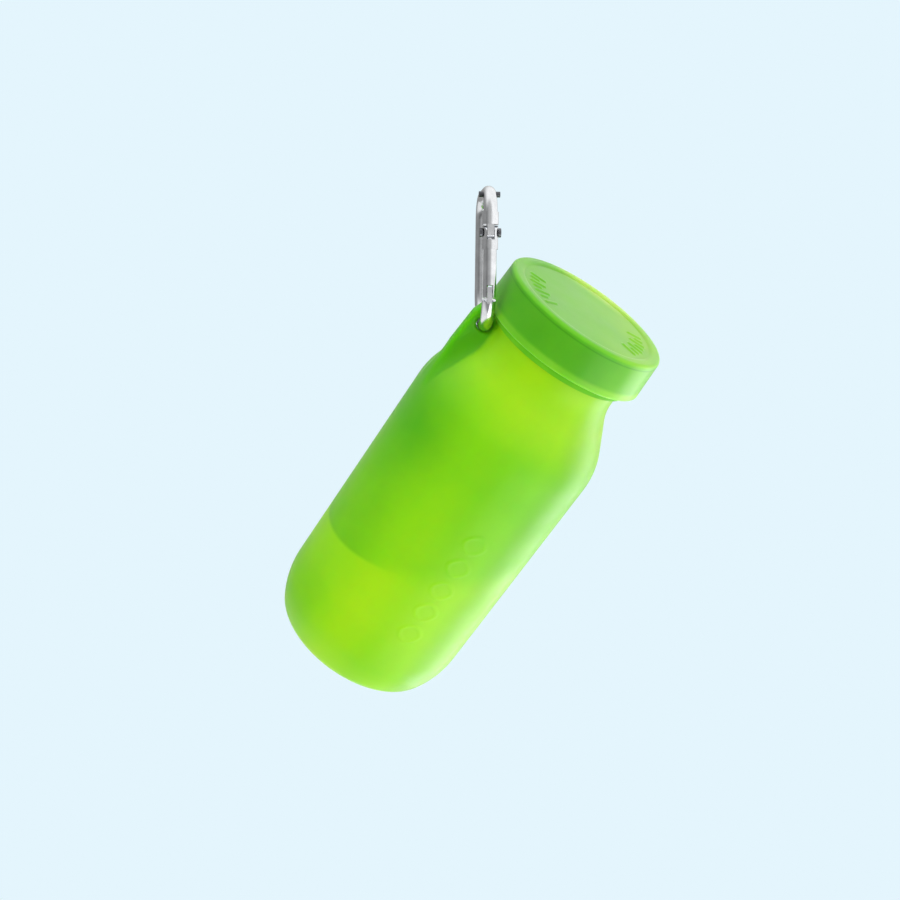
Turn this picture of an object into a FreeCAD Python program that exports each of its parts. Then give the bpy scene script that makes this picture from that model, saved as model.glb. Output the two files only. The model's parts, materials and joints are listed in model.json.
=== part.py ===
import FreeCAD, Part
import math
import os

import Sketcher

# A folding silicone water bottle that stands upright on its base, with its axis along +Z.
# The origin is the centre of the base. The carry ear is on the -X side of the neck, and a
# small carabiner hangs in it. All sizes are in millimetres.

SIZES = {
    # silicone moulding: cup, folding wall, shoulder and neck sleeve
    "body_r": 36.0,
    "body_inner_r": 33.8,
    "base_disc_r": 12.0,
    "base_groove_inner_r": 13.2,
    "base_recess_r": 20.0,
    "base_recess_edge_r": 21.5,
    "base_recess_height": 1.2,
    "base_flat_r": 25.9,
    "base_turn_r": 32.6,
    "base_turn_z": 4.3,
    "base_wall_z": 19.5,
    "base_foot_bend": 7.4,
    "base_wall_bend": 36.0,
    "base_floor_z": 4.2,
    "base_floor_r": 24.0,
    "base_inner_bend": 15.5,
    "fold_low_z": 27.0,
    "fold_high_z": 97.0,
    "shoulder_low_z": 112.0,
    "shoulder_bend": 22.0,
    "shoulder_cone_r": 31.3,
    "shoulder_cone_z": 125.5,
    "shoulder_top_r": 27.1,
    "shoulder_top_z": 130.9,
    "neck_bend": 8.0,
    "neck_r": 25.4,
    "neck_low_z": 136.0,
    "neck_top_z": 142.4,
    "shoulder_inner_bend": 19.8,
    "cone_inner_r": 29.6,
    "cone_inner_z": 124.2,
    "cone_inner_top_r": 24.2,
    "cone_inner_top_z": 131.1,
    "neck_inner_bend": 3.0,
    "neck_inner_r": 23.2,
    "neck_inner_z": 133.9,
    # carry ear
    "ear_thickness": 4.4,
    "ear_low_x": 34.9,
    "ear_low_z": 112.0,
    "ear_side_x": 35.3,
    "ear_side_z": 127.0,
    "ear_corner_x": 34.2,
    "ear_corner_z": 140.4,
    "ear_top_x": 32.6,
    "ear_top_z": 144.2,
    "ear_gap_x": 27.8,
    "ear_root_x": 24.6,
    "ear_root_z": 137.0,
    "ear_root_top_z": 142.3,
    "ear_mid_x": 29.0,
    "ear_mid_z": 126.4,
    "ear_foot_x": 33.9,
    "ear_foot_z": 115.5,
    "ear_hole_x": 28.8,
    "ear_hole_z": 138.1,
    "ear_hole_r": 3.4,
    # rigid neck ring
    "mouth_r": 21.2,
    "skirt_low_z": 133.9,
    "flange_r": 27.4,
    "flange_top_z": 144.4,
    "thread_root_r": 25.4,
    "thread_crest_r": 26.9,
    "ring_top_z": 155.8,
    "lip_chamfer_r": 24.9,
    "lip_chamfer_z": 155.4,
    "thread_pitch": 5.0,
    "thread_inside_r": 25.0,
    "thread_low_z": 147.4,
    "thread_rise": 6.5,
    "thread_half_base": 1.25,
    "thread_half_tip": 0.6,
    # cap
    "cap_low_z": 145.2,
    "cap_low_r": 30.9,
    "cap_edge_z": 158.5,
    "cap_edge_r": 30.3,
    "cap_edge_bend": 1.4,
    "cap_top_r": 28.9,
    "cap_top_z": 159.9,
    "cap_rim_r": 27.8,
    "cap_dish_r": 25.6,
    "cap_dish_z": 159.3,
    "cap_bore_r": 28.9,
    "cap_ceiling_z": 158.2,
    "mark_r": 0.9,
    "mark_ring_r": 20.5,
    "mark_rise": 0.45,
    "mark_root": 0.1,
    "insert_low_z": 146.4,
    "insert_root_r": 27.2,
    "insert_crest_r": 25.7,
    "insert_outside_r": 27.6,
    "insert_plate_z": 157.0,
    "boss_r": 20.8,
    "boss_z": 155.9,
    "insert_thread_z": 149.9,
    "insert_thread_rise": 4.5,
    "seal_inner_r": 21.4,
    "seal_outer_r": 25.2,
    # carabiner, in its own frame: u across, v along, origin at the lower bend's centre
    "link_r": 11.6,
    "bar_r": 2.3,
    "nose_angle": 21.0,
    "crown_bend": 7.0,
    "crown_flat": 9.2,
    "spine_top": 24.4,
    "arm_r": 2.7,
    "arm_low": 20.3,
    "arm_length": 4.1,
    "tongue_half": 1.1,
    "tongue_r": 2.1,
    "tongue_flat": 1.7,
    "pivot_v": 17.7,
    "pivot_r": 0.9,
    "pivot_bore_r": 0.95,
    "pivot_half_length": 3.5,
    "pivot_head_r": 1.5,
    "pivot_head_height": 0.75,
    "gate_r": 2.2,
    "gate_low": -3.4,
    "gate_body_top": 15.3,
    "gate_head_low": 12.3,
    "gate_ear_r": 2.25,
    "gate_ear_half": 2.6,
    "gate_gap_half": 1.25,
    "spring_bore_r": 1.15,
    "spring_bore_low": 6.0,
    "latch_v": -1.4,
    "latch_r": 0.55,
    "latch_notch_r": 0.75,
    "nose_tongue_half": 0.8,
    "nose_tongue_u": 1.5,
    "nose_tongue_low": -5.4,
    "nose_tongue_top": 0.0,
    "nose_tongue_shift": 0.2,
    "weld_depth": 0.4,
    "gate_slot_half": 1.05,
    "gate_slot_top": 0.6,
    "cut_past": 1.0,
    "gate_spring_wire_r": 0.17,
    "gate_spring_r": 0.8,
    "gate_spring_pitch": 0.85,
    "gate_spring_low": 6.2,
    "gate_spring_length": 6.6,
    "plunger_r": 1.05,
    "plunger_low": 13.1,
    "plunger_length": 2.85,
    "rivet_u": 8.1,
    "rivet_v": 30.5,
    "rivet_r": 0.95,
    "rivet_half_length": 3.5,
}

# How the carabiner lies in the ear: lean of its plane from +Z, turn within that plane, and the
# place around the lower bend where the bar passes through the ear's hole.
CARABINER_LEAN = math.radians(29.0)
CARABINER_TURN = math.radians(27.5)
CARABINER_PASS = math.radians(-22.7)

MARKS_PER_GROUP = 7
MARK_STEP = math.radians(8.6)
MARK_GROUPS = (math.radians(188.0), math.radians(-20.0))

UPRIGHT = FreeCAD.Rotation(FreeCAD.Vector(1, 0, 0), 90)


def make_sheet(doc):
    """Driving dimensions, one named cell each."""
    sheet = doc.addObject("Spreadsheet::Sheet", "Sizes")
    for row, (alias, value) in enumerate(SIZES.items(), start=1):
        sheet.set("A%d" % row, alias)
        sheet.set("B%d" % row, str(value))
        sheet.setAlias("B%d" % row, alias)
    doc.recompute()
    return sheet


def value_of(name):
    """Number behind a signed dimension name; 0 stays 0."""
    if name == 0:
        return 0.0
    if name.startswith("-"):
        return -SIZES[name[1:]]
    return SIZES[name]


def expression_of(name):
    """Sheet expression for a signed dimension name."""
    if name.startswith("-"):
        return "-Sizes." + name[1:]
    return "Sizes." + name


def bind(obj, **expressions):
    """Bind properties to the sheet; a double underscore stands for a dot."""
    for prop, name in expressions.items():
        obj.setExpression(prop.replace("__", "."), expression_of(name))


def arc_between(start, end, radius, side):
    """Arc of the given radius; side +1 keeps the centre left of the way from start to end."""
    half = (end - start) * 0.5
    reach = math.sqrt(radius ** 2 - half.Length ** 2)
    left = FreeCAD.Vector(-half.y, half.x, 0).normalize()
    centre = start + half + left * (side * reach)
    first, last = (start, end) if side > 0 else (end, start)
    begin = math.atan2(first.y - centre.y, first.x - centre.x)
    finish = math.atan2(last.y - centre.y, last.x - centre.x)
    circle = Part.Circle(centre, FreeCAD.Vector(0, 0, 1), radius)
    return Part.ArcOfCircle(circle, begin, finish)


def draw_outline(sketch, outline):
    """Closed outline of lines and arcs. Each entry is (x, y) or (x, y, bend, side) by size name."""
    points = [FreeCAD.Vector(value_of(p[0]), value_of(p[1]), 0) for p in outline]
    ends = []
    for i, entry in enumerate(outline):
        start = points[i]
        end = points[(i + 1) % len(points)]
        if len(entry) == 4:
            edge = sketch.addGeometry(arc_between(start, end, value_of(entry[2]), entry[3]), False)
            fixed = sketch.addConstraint(Sketcher.Constraint("Radius", edge, value_of(entry[2])))
            sketch.setExpression("Constraints[%d]" % fixed, expression_of(entry[2]))
            ends.append((edge, 1, 2) if entry[3] > 0 else (edge, 2, 1))
        else:
            edge = sketch.addGeometry(Part.LineSegment(start, end), False)
            ends.append((edge, 1, 2))
    for i, entry in enumerate(outline):
        edge, first, _ = ends[i]
        before, _, last = ends[i - 1]
        sketch.addConstraint(Sketcher.Constraint("Coincident", before, last, edge, first))
        for kind, name, axis in (("DistanceX", entry[0], -2), ("DistanceY", entry[1], -1)):
            if name == 0:
                sketch.addConstraint(Sketcher.Constraint("PointOnObject", edge, first, axis))
                continue
            place = Sketcher.Constraint(kind, -1, 1, edge, first, value_of(name))
            fixed = sketch.addConstraint(place)
            sketch.setExpression("Constraints[%d]" % fixed, expression_of(name))


def new_body(doc, name):
    body = doc.addObject("PartDesign::Body", name)
    body.Label = name
    return body


def plane_of(body, role):
    return next(f for f in body.Origin.OriginFeatures if f.Role == role)


def sketch_on(body, name, role):
    sketch = body.newObject("Sketcher::SketchObject", name)
    sketch.AttachmentSupport = [(plane_of(body, role), "")]
    sketch.MapMode = "FlatFace"
    return sketch


def revolved_body(doc, name, outline):
    """Body turned about the Z axis from an outline of (radius, height) corners."""
    body = new_body(doc, name)
    sketch = sketch_on(body, name + "_outline", "XZ_Plane")
    draw_outline(sketch, outline)
    turn = body.newObject("PartDesign::Revolution", name + "_turn")
    turn.Profile = sketch
    turn.ReferenceAxis = (sketch, ["V_Axis"])
    turn.Angle = 360
    body.Tip = turn
    doc.recompute()
    return body


def cylinder(doc, name, radius, height, **places):
    """Cylinder along Z, sized and placed from the sheet."""
    piece = doc.addObject("Part::Cylinder", name)
    bind(piece, Radius=radius, Height=height, **places)
    return piece


def cross_cylinder(doc, name, radius, half_length, across, along):
    """Cylinder along the carabiner's w axis, centred on its plane."""
    piece = doc.addObject("Part::Cylinder", name)
    piece.Placement = FreeCAD.Placement(FreeCAD.Vector(0, 0, 0), UPRIGHT)
    bind(piece, Radius=radius, Placement__Base__y=half_length)
    piece.setExpression("Height", "2 * Sizes." + half_length)
    bind(piece, Placement__Base__x=across, Placement__Base__z=along)
    return piece


def block(doc, name, size, corner):
    """Box from sheet expressions for its three sizes and its low corner."""
    piece = doc.addObject("Part::Box", name)
    for prop, expression in zip(("Length", "Width", "Height"), size):
        piece.setExpression(prop, expression)
    for axis, expression in zip("xyz", corner):
        piece.setExpression("Placement.Base." + axis, expression)
    return piece


def fuse(doc, name, shapes):
    joined = doc.addObject("Part::MultiFuse", name)
    joined.Shapes = shapes
    joined.Refine = False
    joined.Label = name
    return joined


def cut(doc, name, base, tool):
    rest = doc.addObject("Part::Cut", name)
    rest.Base = base
    rest.Tool = tool
    rest.Label = name
    return rest


# ---------------------------------------------------------------- silicone moulding

def make_base(doc):
    """Cup at the foot: a ring-shaped recess under it and a foot that curves up into the wall."""
    return revolved_body(doc, "bottle_base", [
        (0, 0),
        ("base_disc_r", 0),
        ("base_groove_inner_r", "base_recess_height"),
        ("base_recess_r", "base_recess_height"),
        ("base_recess_edge_r", 0),
        ("base_flat_r", 0, "base_foot_bend", 1),
        ("base_turn_r", "base_turn_z", "base_wall_bend", 1),
        ("body_r", "base_wall_z"),
        ("body_r", "fold_low_z"),
        ("body_inner_r", "fold_low_z"),
        ("body_inner_r", "base_wall_z", "base_inner_bend", -1),
        ("base_floor_r", "base_floor_z"),
        (0, "base_floor_z"),
    ])


def make_fold_zone(doc):
    """Middle of the wall, the stretch that bends when the bottle folds."""
    return revolved_body(doc, "bottle_fold_zone", [
        ("body_inner_r", "fold_low_z"),
        ("body_r", "fold_low_z"),
        ("body_r", "fold_high_z"),
        ("body_inner_r", "fold_high_z"),
    ])


def make_shoulder(doc):
    """Upper wall, shoulder and neck sleeve, with the carry ear and its hole."""
    body = revolved_body(doc, "bottle_shoulder", [
        ("body_inner_r", "fold_high_z"),
        ("body_r", "fold_high_z"),
        ("body_r", "shoulder_low_z", "shoulder_bend", 1),
        ("shoulder_cone_r", "shoulder_cone_z"),
        ("shoulder_top_r", "shoulder_top_z", "neck_bend", -1),
        ("neck_r", "neck_low_z"),
        ("neck_r", "neck_top_z"),
        ("neck_inner_r", "neck_top_z"),
        ("neck_inner_r", "neck_inner_z", "neck_inner_bend", 1),
        ("cone_inner_top_r", "cone_inner_top_z"),
        ("cone_inner_r", "cone_inner_z", "shoulder_inner_bend", -1),
        ("body_inner_r", "shoulder_low_z"),
    ])
    outline = sketch_on(body, "ear_outline", "XZ_Plane")
    draw_outline(outline, [
        ("-ear_low_x", "ear_low_z"),
        ("-ear_foot_x", "ear_foot_z"),
        ("-ear_mid_x", "ear_mid_z"),
        ("-ear_root_x", "ear_root_z"),
        ("-ear_root_x", "ear_root_top_z"),
        ("-ear_gap_x", "ear_root_top_z"),
        ("-ear_gap_x", "ear_top_z"),
        ("-ear_top_x", "ear_top_z"),
        ("-ear_corner_x", "ear_corner_z"),
        ("-ear_side_x", "ear_side_z"),
    ])
    ear = body.newObject("PartDesign::Pad", "ear_pad")
    ear.Profile = outline
    ear.Midplane = True
    bind(ear, Length="ear_thickness")
    body.Tip = ear
    doc.recompute()

    hole = sketch_on(body, "ear_hole_outline", "XZ_Plane")
    centre = FreeCAD.Vector(value_of("-ear_hole_x"), value_of("ear_hole_z"), 0)
    circle = Part.Circle(centre, FreeCAD.Vector(0, 0, 1), value_of("ear_hole_r"))
    edge = hole.addGeometry(circle, False)
    for kind, name in (("DistanceX", "-ear_hole_x"), ("DistanceY", "ear_hole_z")):
        fixed = hole.addConstraint(Sketcher.Constraint(kind, -1, 1, edge, 3, value_of(name)))
        hole.setExpression("Constraints[%d]" % fixed, expression_of(name))
    size = hole.addConstraint(Sketcher.Constraint("Radius", edge, value_of("ear_hole_r")))
    hole.setExpression("Constraints[%d]" % size, "Sizes.ear_hole_r")
    solid_before = body.Shape.Volume
    pocket = body.newObject("PartDesign::Pocket", "ear_hole")
    pocket.Profile = hole
    pocket.Midplane = True
    pocket.setExpression("Length", "2 * Sizes.ear_thickness")
    body.Tip = pocket
    doc.recompute()
    if not body.Shape.Volume < solid_before - 1.0:
        raise RuntimeError("the ear's hole cut nothing")
    return body


# ---------------------------------------------------------------- neck ring and cap

def helical_thread(doc, name, spine_radius, low, rise, inside, outside, inside_half, outside_half):
    """One-start right-hand thread: a trapezium swept along a helix about Z."""
    helix = doc.addObject("Part::Helix", name + "_path")
    bind(helix, Pitch="thread_pitch", Height=rise, Radius=spine_radius, Placement__Base__z=low)
    section = doc.addObject("Sketcher::SketchObject", name + "_section")
    section.Placement = FreeCAD.Placement(FreeCAD.Vector(0, 0, 0), UPRIGHT)
    corners = [(inside, inside_half, -1), (outside, outside_half, -1)]
    corners += [(outside, outside_half, 1), (inside, inside_half, 1)]
    points = [
        FreeCAD.Vector(value_of(x), value_of(low) + sign * value_of(half), 0)
        for x, half, sign in corners
    ]
    for i, point in enumerate(points):
        section.addGeometry(Part.LineSegment(point, points[(i + 1) % 4]), False)
    for i, (x, half, sign) in enumerate(corners):
        section.addConstraint(Sketcher.Constraint("Coincident", i - 1 if i else 3, 2, i, 1))
        across = Sketcher.Constraint("DistanceX", -1, 1, i, 1, points[i].x)
        fixed = section.addConstraint(across)
        section.setExpression("Constraints[%d]" % fixed, expression_of(x))
        along = Sketcher.Constraint("DistanceY", -1, 1, i, 1, points[i].y)
        fixed = section.addConstraint(along)
        operation = "+" if sign > 0 else "-"
        section.setExpression(
            "Constraints[%d]" % fixed, "Sizes.%s %s Sizes.%s" % (low, operation, half)
        )
    doc.recompute()
    rib = doc.addObject("Part::Sweep", name)
    rib.Sections = [section]
    rib.Spine = (helix, ["Edge%d" % (i + 1) for i in range(len(helix.Shape.Edges))])
    rib.Solid = True
    rib.Frenet = True
    doc.recompute()
    return rib


def make_neck_ring(doc):
    """Rigid ring in the neck: a skirt in the sleeve, a flange over it and a threaded mouth."""
    ring = revolved_body(doc, "ring_blank", [
        ("mouth_r", "skirt_low_z"),
        ("neck_inner_r", "skirt_low_z"),
        ("neck_inner_r", "neck_top_z"),
        ("flange_r", "neck_top_z"),
        ("flange_r", "flange_top_z"),
        ("thread_root_r", "flange_top_z"),
        ("thread_root_r", "lip_chamfer_z"),
        ("lip_chamfer_r", "ring_top_z"),
        ("mouth_r", "ring_top_z"),
    ])
    thread = helical_thread(
        doc, "ring_thread", "thread_root_r", "thread_low_z", "thread_rise",
        "thread_inside_r", "thread_crest_r", "thread_half_base", "thread_half_tip",
    )
    return fuse(doc, "neck_ring", [ring, thread])


def make_cap_shell(doc):
    """Soft outer cap: a raised rim round a shallow dish, with two groups of raised pips."""
    body = revolved_body(doc, "cap_shell", [
        ("cap_bore_r", "cap_low_z"),
        ("cap_low_r", "cap_low_z"),
        ("cap_edge_r", "cap_edge_z", "cap_edge_bend", 1),
        ("cap_top_r", "cap_top_z"),
        ("cap_rim_r", "cap_top_z"),
        ("cap_dish_r", "cap_dish_z"),
        (0, "cap_dish_z"),
        (0, "cap_ceiling_z"),
        ("cap_bore_r", "cap_ceiling_z"),
    ])
    marks = sketch_on(body, "mark_circles", "XY_Plane")
    marks.setExpression("AttachmentOffset.Base.z", "Sizes.cap_dish_z - Sizes.mark_root")
    for group in MARK_GROUPS:
        for i in range(MARKS_PER_GROUP):
            angle = group + (i - (MARKS_PER_GROUP - 1) / 2) * MARK_STEP
            centre = FreeCAD.Vector(math.cos(angle), math.sin(angle), 0) * value_of("mark_ring_r")
            circle = Part.Circle(centre, FreeCAD.Vector(0, 0, 1), value_of("mark_r"))
            edge = marks.addGeometry(circle, False)
            size = marks.addConstraint(Sketcher.Constraint("Radius", edge, value_of("mark_r")))
            marks.setExpression("Constraints[%d]" % size, "Sizes.mark_r")
    pips = body.newObject("PartDesign::Pad", "mark_pad")
    pips.Profile = marks
    pips.setExpression("Length", "Sizes.mark_rise + Sizes.mark_root")
    body.Tip = pips
    doc.recompute()
    return body


def make_cap_insert(doc):
    """Rigid liner bonded in the cap: a plate that carries the seal and a threaded wall."""
    liner = revolved_body(doc, "insert_blank", [
        ("insert_root_r", "insert_low_z"),
        ("cap_bore_r", "insert_low_z"),
        ("cap_bore_r", "cap_ceiling_z"),
        (0, "cap_ceiling_z"),
        (0, "boss_z"),
        ("boss_r", "boss_z"),
        ("boss_r", "insert_plate_z"),
        ("insert_root_r", "insert_plate_z"),
    ])
    thread = helical_thread(
        doc, "insert_thread", "insert_root_r", "insert_thread_z", "insert_thread_rise",
        "insert_crest_r", "insert_outside_r", "thread_half_tip", "thread_half_base",
    )
    return fuse(doc, "cap_insert", [liner, thread])


def make_cap_seal(doc):
    """Flat gasket between the ring's lip and the liner's plate."""
    return revolved_body(doc, "cap_seal", [
        ("seal_inner_r", "ring_top_z"),
        ("seal_outer_r", "ring_top_z"),
        ("seal_outer_r", "insert_plate_z"),
        ("seal_inner_r", "insert_plate_z"),
    ])


# ---------------------------------------------------------------- carabiner

def carabiner_placement():
    """From the carabiner's own axes (u, w, v) to the bottle's frame."""
    lean = FreeCAD.Vector(-math.sin(CARABINER_LEAN), 0, math.cos(CARABINER_LEAN))
    across = FreeCAD.Vector(0, 1, 0)
    along = lean * math.cos(CARABINER_TURN) + across * math.sin(CARABINER_TURN)
    side = lean * math.sin(CARABINER_TURN) - across * math.cos(CARABINER_TURN)
    normal = along.cross(side)
    hole = FreeCAD.Vector(value_of("-ear_hole_x"), 0, value_of("ear_hole_z"))
    spoke = side * math.sin(CARABINER_PASS) - along * math.cos(CARABINER_PASS)
    centre = hole - spoke * value_of("link_r")
    turn = FreeCAD.Rotation(side, normal, along, "ZXY")
    return FreeCAD.Placement(centre, turn)


def bend(doc, name, ring, first_angle, sweep, across, along):
    """Part of a torus in the carabiner's plane, from first_angle counted from +u towards +v."""
    piece = doc.addObject("Part::Torus", name)
    bind(piece, Radius1=ring, Radius2="bar_r")
    piece.Angle3 = sweep
    spin = FreeCAD.Rotation(FreeCAD.Vector(0, -1, 0), first_angle)
    piece.Placement = FreeCAD.Placement(FreeCAD.Vector(0, 0, 0), spin.multiply(UPRIGHT))
    piece.setExpression("Placement.Base.x", across)
    piece.setExpression("Placement.Base.z", along)
    return piece


def make_carabiner_frame(doc, place):
    """Bent bar with a forked tongue for the gate's pivot and a notched tongue at the nose."""
    nose = SIZES["nose_angle"]
    low_bend = bend(doc, "low_bend", "link_r", 180, 180 - nose, "0", "0")
    near_bend = bend(doc, "near_bend", "crown_bend", 0, 90,
                     "Sizes.link_r - Sizes.crown_bend", "Sizes.spine_top")
    far_bend = bend(doc, "far_bend", "crown_bend", 90, 90,
                    "Sizes.crown_bend - Sizes.link_r", "Sizes.spine_top")
    spine = cylinder(doc, "spine", "bar_r", "spine_top", Placement__Base__x="-link_r")
    top = doc.addObject("Part::Cylinder", "crown_bar")
    top.Placement = FreeCAD.Placement(
        FreeCAD.Vector(0, 0, 0), FreeCAD.Rotation(FreeCAD.Vector(0, 1, 0), 90)
    )
    bind(top, Radius="bar_r", Height="crown_flat")
    top.setExpression("Placement.Base.x", "-Sizes.crown_flat / 2")
    top.setExpression("Placement.Base.z", "Sizes.spine_top + Sizes.crown_bend")
    arm = cylinder(doc, "arm", "arm_r", "arm_length",
                   Placement__Base__x="link_r", Placement__Base__z="arm_low")
    tongue = cross_cylinder(doc, "tongue_eye", "tongue_r", "tongue_half", "link_r", "pivot_v")
    neck = block(
        doc, "tongue_neck",
        size=("2 * Sizes.tongue_r", "2 * Sizes.tongue_half",
              "Sizes.arm_low - Sizes.pivot_v + Sizes.weld_depth"),
        corner=("Sizes.link_r - Sizes.tongue_r", "-Sizes.tongue_half",
                "Sizes.pivot_v"),
    )
    nose_tongue = block(
        doc, "nose_tongue",
        size=("2 * Sizes.nose_tongue_u", "2 * Sizes.nose_tongue_half",
              "Sizes.nose_tongue_top - Sizes.nose_tongue_low"),
        corner=("Sizes.link_r - Sizes.nose_tongue_u - Sizes.nose_tongue_shift",
                "-Sizes.nose_tongue_half",
                "Sizes.nose_tongue_low"),
    )
    bar = fuse(doc, "frame_bar", [
        low_bend, spine, far_bend, top, near_bend, arm, neck, tongue, nose_tongue,
    ])

    pivot_hole = cross_cylinder(doc, "pivot_hole", "pivot_r", "arm_r", "link_r", "pivot_v")
    crown_hole = cross_cylinder(doc, "crown_hole", "rivet_r", "rivet_half_length",
                                "rivet_u", "rivet_v")
    cam_flat = block(
        doc, "cam_flat",
        size=("4 * Sizes.tongue_r", "4 * Sizes.tongue_half",
              "Sizes.tongue_r"),
        corner=("Sizes.link_r - 2 * Sizes.tongue_r", "-2 * Sizes.tongue_half",
                "Sizes.pivot_v - Sizes.tongue_flat - Sizes.tongue_r"),
    )
    notch = cross_cylinder(doc, "notch_eye", "latch_notch_r", "bar_r", "link_r", "latch_v")
    notch_way = block(
        doc, "notch_way",
        size=("2 * Sizes.nose_tongue_u", "2 * Sizes.bar_r",
              "2 * Sizes.latch_notch_r"),
        corner=("Sizes.link_r - 2 * Sizes.nose_tongue_u", "-Sizes.bar_r",
                "Sizes.latch_v - Sizes.latch_notch_r"),
    )
    holes = fuse(doc, "frame_holes", [pivot_hole, crown_hole, cam_flat, notch, notch_way])
    frame = cut(doc, "carabiner_frame", bar, holes)
    frame.Placement = place
    return frame


def make_gate(doc, place):
    """Round gate: two ears on the pivot, a bore for its spring and a slot over the nose."""
    stem = doc.addObject("Part::Cylinder", "gate_stem")
    bind(stem, Radius="gate_r", Placement__Base__x="link_r", Placement__Base__z="gate_low")
    stem.setExpression("Height", "Sizes.gate_body_top - Sizes.gate_low")
    head = doc.addObject("Part::Cylinder", "gate_head")
    bind(head, Radius="gate_ear_half", Placement__Base__x="link_r")
    head.setExpression("Height", "Sizes.pivot_v + Sizes.gate_ear_r - Sizes.gate_head_low")
    head.setExpression("Placement.Base.z", "Sizes.gate_head_low")
    eye = cross_cylinder(doc, "gate_eye", "gate_ear_r", "gate_ear_half", "link_r", "pivot_v")
    lower = block(
        doc, "gate_lower",
        size=("2 * Sizes.gate_ear_half", "2 * Sizes.gate_ear_half",
              "Sizes.pivot_v - Sizes.gate_head_low"),
        corner=("Sizes.link_r - Sizes.gate_ear_half", "-Sizes.gate_ear_half",
                "Sizes.gate_head_low"),
    )
    reach = fuse(doc, "gate_reach", [eye, lower])
    ears = doc.addObject("Part::Common", "gate_ears")
    ears.Base = head
    ears.Tool = reach
    blank = fuse(doc, "gate_blank", [stem, ears])

    gap = block(
        doc, "gate_gap",
        size=("4 * Sizes.gate_ear_half", "2 * Sizes.gate_gap_half",
              "4 * Sizes.gate_ear_r"),
        corner=("Sizes.link_r - 2 * Sizes.gate_ear_half", "-Sizes.gate_gap_half",
                "Sizes.gate_body_top"),
    )
    pivot_bore = cross_cylinder(doc, "gate_pivot_bore", "pivot_bore_r", "pivot_half_length",
                                "link_r", "pivot_v")
    spring_bore = doc.addObject("Part::Cylinder", "gate_spring_bore")
    bind(spring_bore, Radius="spring_bore_r", Placement__Base__x="link_r",
         Placement__Base__z="spring_bore_low")
    spring_bore.setExpression("Height", "Sizes.gate_body_top - Sizes.spring_bore_low + Sizes.cut_past")
    slot = block(
        doc, "gate_slot",
        size=("4 * Sizes.gate_r", "2 * Sizes.gate_slot_half",
              "Sizes.gate_slot_top - Sizes.gate_low + Sizes.cut_past"),
        corner=("Sizes.link_r - 2 * Sizes.gate_r", "-Sizes.gate_slot_half",
                "Sizes.gate_low - Sizes.cut_past"),
    )
    latch_hole = cross_cylinder(doc, "latch_hole", "latch_r", "bar_r", "link_r", "latch_v")
    holes = fuse(doc, "gate_holes", [gap, pivot_bore, spring_bore, slot, latch_hole])
    gate = cut(doc, "carabiner_gate", blank, holes)
    gate.Placement = place
    return gate


def make_pivot_rivet(doc, place):
    """Headed rivet that the gate swings on."""
    shank = cross_cylinder(doc, "pivot_shank", "pivot_r", "pivot_half_length",
                           "link_r", "pivot_v")
    pieces = [shank]
    for name, inner in (("pivot_head_left", "Sizes.pivot_half_length"),
                        ("pivot_head_right",
                         "Sizes.pivot_head_height - Sizes.pivot_half_length")):
        head = doc.addObject("Part::Cylinder", name)
        head.Placement = FreeCAD.Placement(FreeCAD.Vector(0, 0, 0), UPRIGHT)
        bind(head, Radius="pivot_head_r", Height="pivot_head_height",
             Placement__Base__x="link_r", Placement__Base__z="pivot_v")
        head.setExpression("Placement.Base.y", inner)
        pieces.append(head)
    rivet = fuse(doc, "gate_pivot_rivet", pieces)
    rivet.Placement = place
    return rivet


def make_latch_pin(doc, place):
    """Cross pin in the gate's slot that seats in the nose's notch."""
    pin = cross_cylinder(doc, "latch_pin_shank", "latch_r", "gate_r", "link_r", "latch_v")
    trim = doc.addObject("Part::Cylinder", "latch_trim")
    bind(trim, Radius="gate_r", Placement__Base__x="link_r", Placement__Base__z="gate_low")
    trim.setExpression("Height", "Sizes.gate_body_top - Sizes.gate_low")
    piece = doc.addObject("Part::Common", "gate_latch_pin")
    piece.Base = pin
    piece.Tool = trim
    piece.Label = "gate_latch_pin"
    piece.Placement = place
    return piece


def make_crown_rivet(doc, place):
    """Plain rivet through the crown, its ends proud on both sides."""
    piece = cross_cylinder(doc, "crown_rivet", "rivet_r", "rivet_half_length",
                           "rivet_u", "rivet_v")
    piece.Label = "crown_rivet"
    return group_at(doc, piece, place)


def group_at(doc, piece, place):
    """One piece carried to the carabiner's place as a sub-part of its own."""
    label = piece.Label
    piece.Label = label + "_local"
    carried = doc.addObject("Part::MultiCommon", label)
    carried.Shapes = [piece, piece]
    carried.Label = label
    carried.Placement = place
    return carried


def make_gate_spring(doc, place):
    """Small compression spring in the gate's bore."""
    helix = doc.addObject("Part::Helix", "gate_spring_path")
    bind(helix, Pitch="gate_spring_pitch", Height="gate_spring_length", Radius="gate_spring_r",
         Placement__Base__x="link_r", Placement__Base__z="gate_spring_low")
    wire = doc.addObject("Part::Circle", "gate_spring_wire")
    wire.Placement = FreeCAD.Placement(FreeCAD.Vector(0, 0, 0), UPRIGHT)
    bind(wire, Radius="gate_spring_wire_r", Placement__Base__z="gate_spring_low")
    wire.setExpression("Placement.Base.x", "Sizes.link_r + Sizes.gate_spring_r")
    doc.recompute()
    spring = doc.addObject("Part::Sweep", "gate_spring")
    spring.Sections = [wire]
    spring.Spine = (helix, ["Edge%d" % (i + 1) for i in range(len(helix.Shape.Edges))])
    spring.Solid = True
    spring.Frenet = True
    spring.Label = "gate_spring"
    spring.Placement = place
    return spring


def make_gate_plunger(doc, place):
    """Pusher between the spring and the tongue of the frame."""
    piece = doc.addObject("Part::Cylinder", "gate_plunger")
    piece.Label = "gate_plunger"
    bind(piece, Radius="plunger_r", Height="plunger_length",
         Placement__Base__x="link_r", Placement__Base__z="plunger_low")
    return group_at(doc, piece, place)


# ---------------------------------------------------------------- build, check and export

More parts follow.
